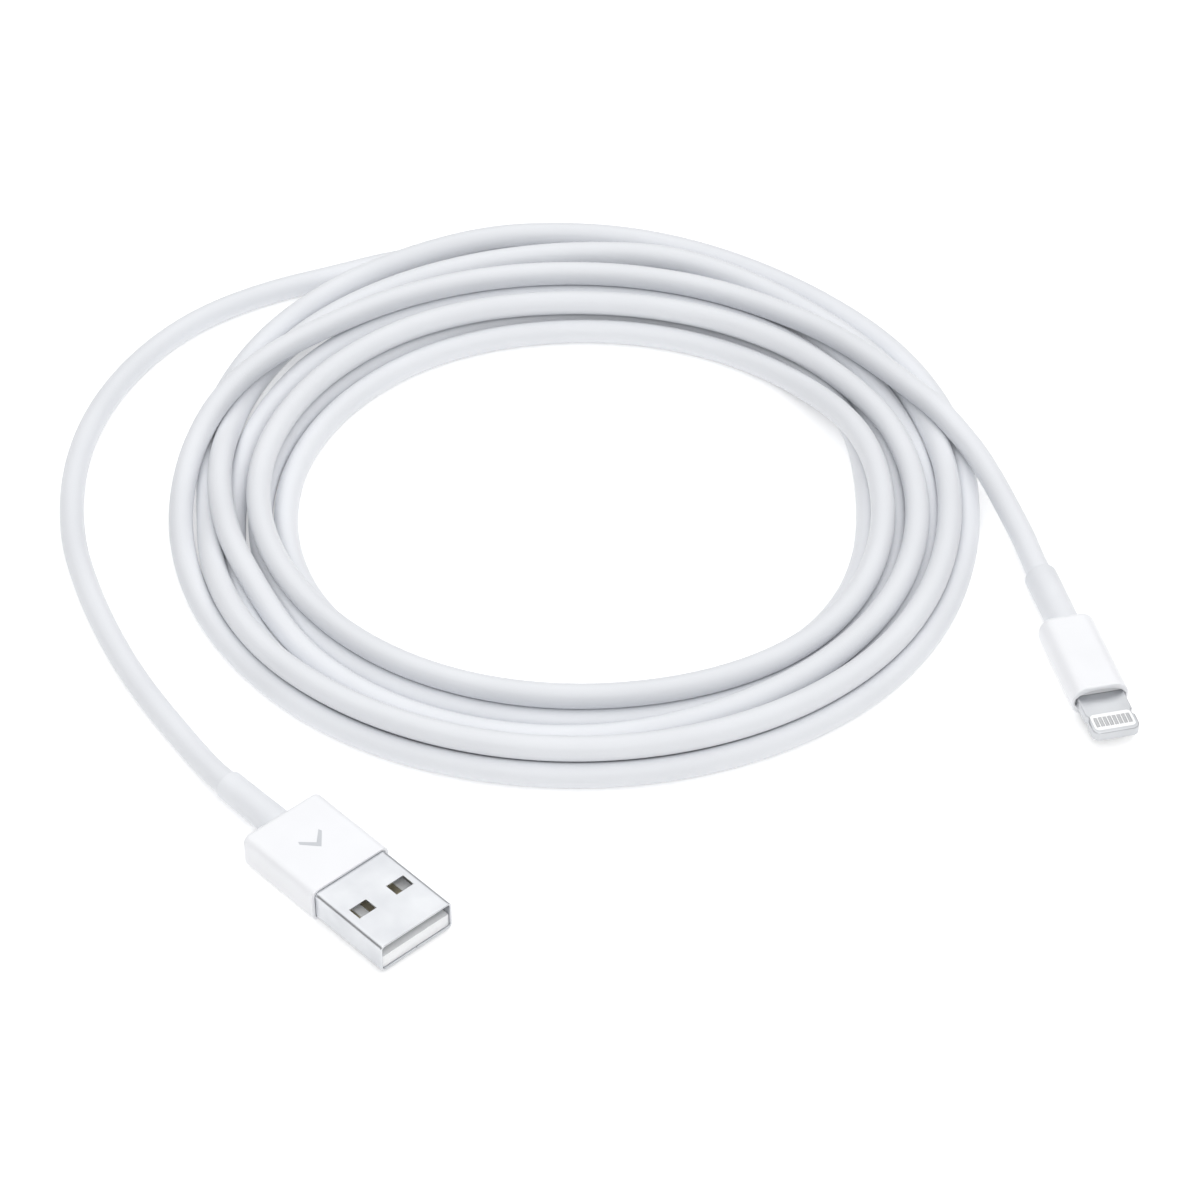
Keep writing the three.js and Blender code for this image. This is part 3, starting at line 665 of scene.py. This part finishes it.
host = {
    "axis": 2.65,  # height of its middle
    "mouth": 19.2,
    "coverFront": 6.1,
    "coverBack": -8.2,
    "coverWidth": 13.1,
    "coverHeight": 5.3,
    "coverCorner": 1.2,
    "frontRound": 0.14,
    "frontSupport": 0.35,  # a support ring this far from a rounded end keeps the flat faces flat
    "backRound": 0.7,
    "backSupport": 0.91,
    "backInset": 0.805,  # and one on the back face, this far in from its side
    "cavityWidth": 12.12,
    "cavityHeight": 4.62,
    "cavityCorner": 0.76,
    "cavityBack": -7.0,
    "rearHole": 2.285,
    "shellWidth": 12.0,
    "shellHeight": 4.5,
    "shellCorner": 0.7,
    "shellWall": 0.3,
    "shellBack": 0.8,
    "lipRound": 0.13,
    "lipSupport": 0.325,
    "windowMiddle": 12.3,
    "windowLength": 2.1,
    "windowWidth": 2.85,
    "windowOut": 3.15,  # from the plug's middle to a window's
    "seam": 0.12,
    "pressedEdge": 0.035,
    "tongueEdge": 0.06,
}


def hostCoverMesh():
    across = (host["coverWidth"], host["coverHeight"], host["coverCorner"])
    cavity = (host["cavityWidth"], host["cavityHeight"], host["cavityCorner"])
    front, back, z = host["coverFront"], host["coverBack"], host["axis"]
    small, large = host["frontRound"], host["backRound"]
    sections = [sliceAcross(cavity, x, z) for x in (host["cavityBack"], front)]
    for angle in quarter(4):
        x = front - small * (1 - math.cos(angle))
        sections.append(sliceAcross(across, x, z, small * (1 - math.sin(angle))))
    sections.append(sliceAcross(across, front - host["frontSupport"], z))
    sections.append(sliceAcross(across, back + host["backSupport"], z))
    for angle in quarter():
        x = back + large * (1 - math.sin(angle))
        sections.append(sliceAcross(across, x, z, large * (1 - math.cos(angle))))
    sections.append(sliceAcross(across, back, z, host["backInset"]))
    hole = roundRod(host["rearHole"], back - past, host["cavityBack"] + into, z)
    return carved(skin(sections), [("DIFFERENCE", hole)])


def hostShellMesh():
    across = (host["shellWidth"], host["shellHeight"], host["shellCorner"])
    mouth, back, z = host["mouth"], host["shellBack"], host["axis"]
    wall, small = host["shellWall"], host["lipRound"]
    sections = [
        sliceAcross(across, back, z, wall),
        sliceAcross(across, back, z),
        sliceAcross(across, mouth - host["lipSupport"], z),
    ]
    for angle in quarter(4):
        x = mouth - small * (1 - math.sin(angle))
        sections.append(sliceAcross(across, x, z, small * (1 - math.cos(angle))))
    for angle in quarter(4):
        x = mouth - small * (1 - math.cos(angle))
        sections.append(sliceAcross(across, x, z, wall - small * (1 - math.sin(angle))))
    sections.append(sliceAcross(across, mouth - host["lipSupport"], z, wall))
    x0 = host["windowMiddle"] - host["windowLength"] / 2
    x1 = x0 + host["windowLength"]
    cutters = []
    for side in (-1, 1):
        y0 = side * host["windowOut"] - host["windowWidth"] / 2
        y1 = y0 + host["windowWidth"]
        for face in (-1, 1):
            middle = z + face * (host["shellHeight"] - wall) / 2
            window = boxSolid(x0, x1, y0, y1, middle - 2 * wall, middle + 2 * wall)
            cutters.append(("DIFFERENCE", window))
    half = host["seam"] / 2
    bottom = z - host["shellHeight"] / 2
    seam = boxSolid(back - past, mouth + past, -half, half, bottom - past, bottom + 2 * wall)
    cutters.append(("DIFFERENCE", seam))
    mesh = carved(skin(sections, ring=True), cutters)
    return bevelled(mesh, host["pressedEdge"], segments=1, angle=60)


relief = {
    "host": {
        "root": -6.5,
        "tip": -19.2,
        "rootRadius": 2.225,
        "tipRadius": 2.11,
        "tipRound": 0.25,
        "bore": 1.81,
    },
    "device": {
        "root": -13.8,
        "tip": -26.3,
        "rootRadius": 2.31,
        "tipRadius": 2.35,
        "tipRound": 0.4,
        "bore": 1.81,
    },
    "neckBack": -14.75,  # the device sleeve's narrower root, inside the cover
    "neckRadius": 2.0,
    "fit": 0.01,  # between the device sleeve and the cover that it fills
    "flangeFront": -6.04,
    "flangeBack": -6.94,
    "flangeWidth": 7.0,
    "flangeHeight": 4.38,
    "flangeCorner": 1.0,
}


def reliefProfile(sizes, neck=None):  # neck is where a narrower root ends, and its radius
    rounded = sizes["tipRound"]
    tip = sizes["tip"]
    radius = sizes["tipRadius"]
    profile = [(sizes["root"], sizes["bore"])]
    if neck:  # it fills the rounded back of the cover, so that no gap shows between them
        profile += [(sizes["root"], neck[1]), neck, (neck[0], sizes["rootRadius"])]
    else:
        profile.append((sizes["root"], sizes["rootRadius"]))
    profile.append((tip + 2 * rounded, radius))
    for angle in quarter():
        x = tip + rounded * (1 - math.sin(angle))
        profile.append((x, radius - rounded * (1 - math.cos(angle))))
    profile.append((tip, sizes["bore"]))
    return profile


def hostReliefMesh():
    sizes = relief["host"]
    front, back, z = relief["flangeFront"], relief["flangeBack"], host["axis"]
    across = (relief["flangeWidth"], relief["flangeHeight"], relief["flangeCorner"])
    flange = skin([sliceAcross(across, x, z) for x in (back, front)])
    bore = roundRod(sizes["bore"], back - past, front + past, z)
    sleeve = turnedRing(reliefProfile(sizes), z)
    return carved(flange, [("DIFFERENCE", bore), ("UNION", sleeve)])


hostMark = {  # a plain chevron, printed on the cover
    "x": -1.0,
    "reach": 1.35,  # half its length along the plug
    "spread": 1.9,  # half its width
    "stroke": 0.5,
    "notch": 1.0,  # from the point to the inner corner
    "endCut": 0.175,  # how much the ends slant
    "thickness": 0.02,
}


def chevronSolid():
    ahead = hostMark["reach"]
    out = hostMark["spread"]
    thick = hostMark["stroke"]
    cut = hostMark["endCut"]
    x = hostMark["x"]
    corners = [
        (x + ahead, 0),
        (x - ahead + thick, out),
        (x - ahead, out - cut),
        (x + ahead - hostMark["notch"], 0),
        (x - ahead, -out + cut),
        (x - ahead + thick, -out),
    ]
    top = host["axis"] + host["coverHeight"] / 2
    return skin([alongZ(corners, top), alongZ(corners, top + hostMark["thickness"])])


finishPiece("hostCover", hostCoverMesh(), hostPlace, coverGloss, ("host_cover",))
finishPiece("hostShell", hostShellMesh(), hostPlace, shellSteel, ("host_shell",))
tongueMesh = bevelled(copyOfNode("host_insulator"), host["tongueEdge"])
finishPiece("hostTongue", tongueMesh, hostPlace, tonguePlastic, ("host_insulator",))
finishPiece("hostRelief", hostReliefMesh(), hostPlace, reliefSatin, ("host_strain_relief",))
finishPiece("hostMark", meshFrom("mark", *chevronSolid()), hostPlace, printGrey)
print("host plug made")

# Tab plug: made along X with its cover's front at 0, then turned to its place on the table

device = {
    "axis": 2.35,
    "exit": (25.8, 111.05),  # where the cord leaves it
    "heading": -29.5,
    "length": 26.3,  # from the cover's front to the exit
    "coverWidth": 8.1,
    "coverHeight": 4.7,
    "coverCorner": 2.1,
    "coverBack": -15.4,
    "frontRound": 0.2,
    "frontSupport": 0.44,  # where support rings keep the sides straight, as on the host cover
    "mouthRound": 0.05,
    "backRound": 0.9,
    "backSupport": 1.125,
    "backInset": 1.08,
    "cavityWidth": 7.4,
    "cavityHeight": 3.5,
    "cavityCorner": 1.0,
    "mouthFlat": 0.5,  # half the straight part of its long edges
    "mouthReach": 3.2,
    "mouthDepth": 0.35,
    "cavityBack": -11.9,
    "chamberRadius": 2.18,
    "chamberBack": -14.1,
    "rearHole": 2.06,
    "tabWidth": 6.7,
    "tabHeight": 1.5,
    "tabTip": 7.3,
    "tabBack": -5.0,
    "tabCorner": 1.1,
    "cornerSteps": 10,
    "tabEdge": 0.2,
    "tabSupport": 0.32,
    "detentX": 4.0,  # middle of the scoop in each side
    "detentRadius": 0.8,
    "detentDepth": 0.3,
    "detentSteps": 8,
    "windowX": 5.15,
    "windowLength": 3.1,
    "windowWidth": 5.8,
    "windowCorner": 0.6,
    "slotFront": 3.75,
    "slotWidth": 5.3,
    "slotHeight": 0.8,
    "padCount": 8,
    "padPitch": 0.66,
    "padWidth": 0.36,
    "padLength": 1.7,
    "padThickness": 0.2,
    "padCorner": 0.1,
    "padSink": 0.03,  # below the tab's face
}

devicePlace = (
    hostPlace
    @ Matrix.Translation((*device["exit"], 0))
    @ Matrix.Rotation(math.radians(device["heading"]), 4, "Z")
    @ Matrix.Translation((device["length"], 0, 0))
)


def deviceCoverMesh():
    across = (device["coverWidth"], device["coverHeight"], device["coverCorner"])
    cavity = (device["cavityWidth"], device["cavityHeight"], device["cavityCorner"])
    back, z = device["coverBack"], device["axis"]
    small, large, inner = device["frontRound"], device["backRound"], device["mouthRound"]
    steps = 12

    def mouth(x, outward=0.0):  # nearly an ellipse, just wide enough for the tab
        flat = np.array(roundedOutline(2 * device["mouthFlat"], 0.0, 0.0, steps, support=0.0))
        around = np.array(roundedOutline(2.0, 2.0, 1.0, steps))
        reach = (device["mouthReach"] + outward, device["cavityHeight"] / 2 + outward)
        return alongX(flat + around * reach, x, z)

    inside = (device["cavityBack"], -device["mouthDepth"])
    sections = [sliceAcross(cavity, x, z, steps=steps) for x in inside]
    sections.append(mouth(-device["mouthDepth"]))
    for angle in quarter(4):
        sections.append(mouth(-inner * (1 - math.sin(angle)), inner * (1 - math.cos(angle))))
    for angle in quarter(5):
        x = -small * (1 - math.cos(angle))
        sections.append(sliceAcross(across, x, z, small * (1 - math.sin(angle)), steps))
    sections.append(sliceAcross(across, -device["frontSupport"], z, steps=steps))
    sections.append(sliceAcross(across, back + device["backSupport"], z, steps=steps))
    for angle in quarter(8):
        x = back + large * (1 - math.sin(angle))
        sections.append(sliceAcross(across, x, z, large * (1 - math.cos(angle)), steps))
    sections.append(sliceAcross(across, back, z, device["backInset"], steps))
    sleeveRadius = relief["device"]["rootRadius"] + relief["fit"]
    holes = (
        (device["rearHole"], back - past, device["chamberBack"] + into),
        (device["chamberRadius"], device["chamberBack"], device["cavityBack"] + into),
        (sleeveRadius, back - past, relief["neckBack"]),
    )
    return carved(skin(sections), [("DIFFERENCE", roundRod(*hole, z)) for hole in holes])


def tabOutline():
    half = device["tabWidth"] / 2
    radius = device["detentRadius"]
    middle = half + radius - device["detentDepth"]  # of the detent's arc
    reach = math.acos((middle - half) / radius)
    side = [(device["tabBack"], -half)]
    for i in range(device["detentSteps"] + 1):
        angle = math.pi / 2 + reach * (1 - 2 * i / device["detentSteps"])
        x = device["detentX"] + radius * math.cos(angle)
        side.append((x, -middle + radius * math.sin(angle)))
    corner = device["tabCorner"]
    for i in range(device["cornerSteps"] + 1):
        angle = -math.pi / 2 + i / device["cornerSteps"] * math.pi / 2
        x = device["tabTip"] - corner + corner * math.cos(angle)
        side.append((x, -half + corner + corner * math.sin(angle)))
    return side + [(x, -y) for x, y in reversed(side)]


def deviceTabMesh():
    flat = tabOutline()
    z = device["axis"]
    half = device["tabHeight"] / 2
    edge = device["tabEdge"]
    sections = []
    for side in (-1, 1):
        for angle in quarter(5)[::side]:
            inward = offsetOutline(flat, edge * (1 - math.cos(angle)))
            sections.append(alongZ(inward, z + side * (half - edge + edge * math.sin(angle))))
    ring = offsetOutline(flat, device["tabSupport"])
    sections = [alongZ(ring, z - half), *sections, alongZ(ring, z + half)]
    window = roundedOutline(
        device["windowLength"],
        device["windowWidth"],
        device["windowCorner"],
        centre=(device["windowX"], 0),
    )
    opening = skin([alongZ(window, z - 2 * half), alongZ(window, z + 2 * half)])
    deep, high = device["slotWidth"] / 2, device["slotHeight"] / 2
    slot = boxSolid(device["tabBack"] - past, device["slotFront"], -deep, deep, z - high, z + high)
    return carved(skin(sections), [("DIFFERENCE", opening), ("DIFFERENCE", slot)])


# Contact pads: one row of rounded plates on each face, repeated by a node tree


def padTree():
    tree = bpy.data.node_groups.new("contact pad rows", "GeometryNodeTree")
    face = tree.interface
    face.new_socket("Geometry", in_out="INPUT", socket_type="NodeSocketGeometry")
    wanted = {
        "Count": ("NodeSocketInt", device["padCount"]),
        "Pitch": ("NodeSocketFloat", device["padPitch"]),
        "Width": ("NodeSocketFloat", device["padWidth"]),
        "Length": ("NodeSocketFloat", device["padLength"]),
        "Thickness": ("NodeSocketFloat", device["padThickness"]),
        "Corner": ("NodeSocketFloat", device["padCorner"]),
        "Middle X": ("NodeSocketFloat", device["windowX"]),
        "Top": ("NodeSocketFloat", device["tabHeight"] / 2 - device["padSink"]),
    }
    for name, (kind, _) in wanted.items():
        face.new_socket(name, in_out="INPUT", socket_type=kind)
    face.new_socket("Material", in_out="INPUT", socket_type="NodeSocketMaterial")
    face.new_socket("Geometry", in_out="OUTPUT", socket_type="NodeSocketGeometry")
    given = addNode(tree, "NodeGroupInput").outputs
    gaps = addNode(tree, "ShaderNodeMath", {0: given["Count"], 1: 1.0}, operation="SUBTRACT")
    reach = addNode(
        tree, "ShaderNodeMath", {0: gaps.outputs["Value"], 1: given["Pitch"]}, operation="MULTIPLY"
    )
    first = addNode(tree, "ShaderNodeMath", {0: reach.outputs["Value"], 1: -0.5}, operation="MULTIPLY")
    low = addNode(
        tree, "ShaderNodeMath", {0: given["Top"], 1: given["Thickness"]}, operation="SUBTRACT"
    )
    start = addNode(
        tree,
        "ShaderNodeCombineXYZ",
        {"X": given["Middle X"], "Y": first.outputs["Value"], "Z": low.outputs["Value"]},
    )
    step = addNode(tree, "ShaderNodeCombineXYZ", {"Y": given["Pitch"]})
    row = addNode(
        tree,
        "GeometryNodeMeshLine",
        {
            "Count": given["Count"],
            "Start Location": start.outputs["Vector"],
            "Offset": step.outputs["Vector"],
        },
        mode="OFFSET",
    ).outputs["Mesh"]
    outline = addNode(
        tree,
        "GeometryNodeCurvePrimitiveQuadrilateral",
        {"Width": given["Length"], "Height": given["Width"]},
    ).outputs["Curve"]
    rounded = addNode(
        tree,
        "GeometryNodeFilletCurve",
        {"Curve": outline, "Radius": given["Corner"], "Count": 5},
        mode="POLY",
    ).outputs["Curve"]
    plate = addNode(tree, "GeometryNodeFillCurve", {"Curve": rounded}, mode="NGONS").outputs["Mesh"]
    raised = addNode(
        tree,
        "GeometryNodeExtrudeMesh",
        {
            "Mesh": plate,
            "Offset": (0.0, 0.0, 1.0),
            "Offset Scale": given["Thickness"],
            "Individual": False,
        },
    ).outputs["Mesh"]
    under = addNode(tree, "GeometryNodeFlipFaces", {"Mesh": plate}).outputs["Mesh"]
    solid = addNode(tree, "GeometryNodeJoinGeometry")
    tree.links.new(raised, solid.inputs["Geometry"])
    tree.links.new(under, solid.inputs["Geometry"])
    pads = addNode(
        tree, "GeometryNodeInstanceOnPoints", {"Points": row, "Instance": solid.outputs["Geometry"]}
    ).outputs["Instances"]
    turned = addNode(
        tree, "GeometryNodeTransform", {"Geometry": pads, "Rotation": (math.pi, 0.0, 0.0)}
    ).outputs["Geometry"]
    both = addNode(tree, "GeometryNodeJoinGeometry")
    tree.links.new(pads, both.inputs["Geometry"])
    tree.links.new(turned, both.inputs["Geometry"])
    real = addNode(tree, "GeometryNodeRealizeInstances", {"Geometry": both.outputs["Geometry"]})
    done = addNode(
        tree,
        "GeometryNodeSetMaterial",
        {"Geometry": real.outputs["Geometry"], "Material": given["Material"]},
    )
    addNode(tree, "NodeGroupOutput", {"Geometry": done.outputs["Geometry"]})
    values = {name: value for name, (_, value) in wanted.items()}
    values["Material"] = padPlate
    return tree, values


def padsMesh():
    tree, values = padTree()
    blank = looseObject(bpy.data.meshes.new("blank"))
    rows = blank.modifiers.new("rows", "NODES")
    rows.node_group = tree
    for socket in tree.interface.items_tree:
        if socket.in_out == "INPUT" and socket.name in values:
            rows[socket.identifier] = values[socket.name]
    mesh = appliedMesh(blank)
    mesh.transform(Matrix.Translation((0, 0, device["axis"])))
    return mesh


deviceReliefSolid = turnedRing(
    reliefProfile(relief["device"], (relief["neckBack"], relief["neckRadius"])), device["axis"]
)
padNodes = [
    f"device_pad_{side}_{i + 1}" for side in ("top", "bottom") for i in range(device["padCount"])
]
devicePieces = [
    finishPiece(
        "deviceCover", deviceCoverMesh(), devicePlace, coverGloss, ("device_cover",)
    ),
    finishPiece(
        "deviceRelief",
        meshFrom("sleeve", *deviceReliefSolid),
        devicePlace,
        reliefSatin,
        ("device_strain_relief",),
    ),
    finishPiece("deviceTab", deviceTabMesh(), devicePlace, tabSteel, ("device_tab_frame",)),
    finishPiece("devicePads", padsMesh(), devicePlace, padPlate, padNodes),
]
print("tab plug made")

# Pieces kept from the CAD, with their own materials

keptFinishes = {
    "host_contact_": contactGold,
    "host_inner_mould": innerWhite,
    "host_crimp": crimpTin,
    "host_cord_jacket": cordJacket,
    "host_cord_braid": braidCopper,
    "device_contact_insert": insertWhite,
    "device_board": boardGreen,
    "device_chip": chipBlack,
    "device_regulator": chipBlack,
    "device_shield_can": crimpTin,
    "device_inner_mould": innerWhite,
    "device_crimp": crimpTin,
    "device_cord_jacket": cordJacket,
    "device_cord_braid": braidCopper,
}


def finishKeptNodes():
    kept = []
    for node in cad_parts:
        shown = bpy.data.objects[node]
        if "_wire_" in node:
            finish = wirePlastics[int(node[-1]) - 1]
        else:
            finish = next((f for start, f in keptFinishes.items() if node.startswith(start)), None)
        if finish:
            shown.data.materials.clear()
            shown.data.materials.append(finish)
            kept.append(shown)
    return kept


keptNodes = finishKeptNodes()
devicePieces += [node for node in keptNodes if node.name.startswith("device_")]
print("kept nodes finished:", len(keptNodes))

# Table, light and the end, in metres

studio = {
    "halfTable": 3.0,
    "tableGlow": 0.24,  # the table is lit from below too, which lifts the shadows
    "aim": (0, 0.06, 0),
    "softbox": {"place": (0.0, 0.16, 1.2), "size": 3.4, "power": 31},
    "frontFill": {"place": (0.62, -0.52, 0.95), "size": 0.5, "power": 2.1},
    "room": 0.28,
}


def makeTable():
    # Opal acrylic: an even bright white without reflections. Its particles are far too fine to show, and
    # are drawn as specks of 0.6 mm that hardly differ in shade.
    half = studio["halfTable"]
    mesh = bpy.data.meshes.new("floor")
    corners = [(-half, -half, 0), (half, -half, 0), (half, half, 0), (-half, half, 0)]
    mesh.from_pydata(corners, [], [(0, 1, 2, 3)])
    material, tree, shader, place = startMaterial("opal acrylic light table")
    specks = addNode(tree, "ShaderNodeTexNoise", {"Vector": place, "Scale": perMetre(0.6)})
    driftColour(tree, shader, specks.outputs["Fac"], "#F5F5F5", "#F7F7F7")
    shader.inputs["Roughness"].default_value = 0.95
    shader.inputs["Emission Color"].default_value = hexToLinear("#FFFFFF")
    shader.inputs["Emission Strength"].default_value = studio["tableGlow"]
    mesh.materials.append(material)
    floor = bpy.data.objects.new("floor", mesh)
    bpy.context.scene.collection.objects.link(floor)


def makeLight(name, place, size, power):
    data = bpy.data.lights.new(name, "AREA")
    data.shape = "DISK"
    data.size = size
    data.energy = power
    light = bpy.data.objects.new(name, data)
    light.location = place
    towards = Vector(studio["aim"]) - Vector(place)
    light.rotation_euler = towards.to_track_quat("-Z", "Y").to_euler()
    bpy.context.scene.collection.objects.link(light)


def makeWorld():
    world = bpy.data.worlds.new("studio")
    world.use_nodes = True
    tree = world.node_tree
    tree.nodes.clear()
    walls = {"Color": hexToLinear("#FFFFFF"), "Strength": studio["room"]}
    room = addNode(tree, "ShaderNodeBackground", walls)
    addNode(tree, "ShaderNodeOutputWorld", {"Surface": room.outputs["Background"]})
    bpy.context.scene.world = world


makeTable()
makeLight("overhead softbox", **studio["softbox"])
makeLight("front fill", **studio["frontFill"])
makeWorld()
bpy.context.scene.view_settings.view_transform = "Standard"
print("table and lights made")
